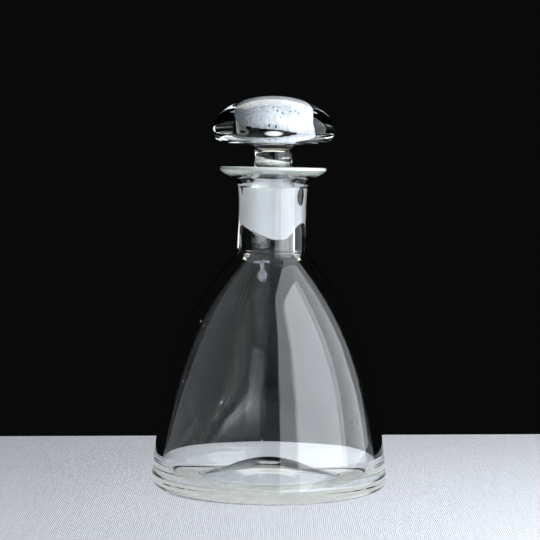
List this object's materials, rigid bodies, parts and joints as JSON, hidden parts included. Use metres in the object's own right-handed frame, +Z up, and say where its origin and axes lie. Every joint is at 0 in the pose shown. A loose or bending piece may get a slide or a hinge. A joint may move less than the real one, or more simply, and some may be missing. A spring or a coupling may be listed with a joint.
{
  "type": "stoppered glass bottle",
  "caption": "Bell-shaped clear blown-glass bottle with a kicked-up base, a thick neck with a flared lip, and a ground-in mushroom stopper with a core of fine bubbles.",
  "frame": {"origin": "centre of the standing ring, on the surface the bottle stands on", "axes": "+Z up the bottle's axis to the stopper; the bottle is turned about it, so +X and +Y are any two level directions"},
  "size_m": [0.143, 0.143, 0.239],
  "materials": {
    "clear_glass": "clear, fire-polished, a few seed bubbles",
    "neck_glass": "clear and thick, faintly green at the lip, with a ground seat inside",
    "frosted_glass": "finely ground white plug below a clear stem",
    "knob_glass": "clear, fire-polished",
    "bubbled_glass": "white with trapped fine bubbles"
  },
  "bodies": {
    "bottle": {"bottle_body": "clear_glass", "bottle_neck": "neck_glass"},
    "stopper": {"stopper_plug": "frosted_glass", "stopper_knob": "knob_glass", "bubble_core": "bubbled_glass"}
  },
  "joints": [
    {"name": "stopper_lift", "type": "slide", "parent": "bottle", "child": "stopper", "axis": [0, 0, 1], "range_m": [0, 0.08]}
  ]
}
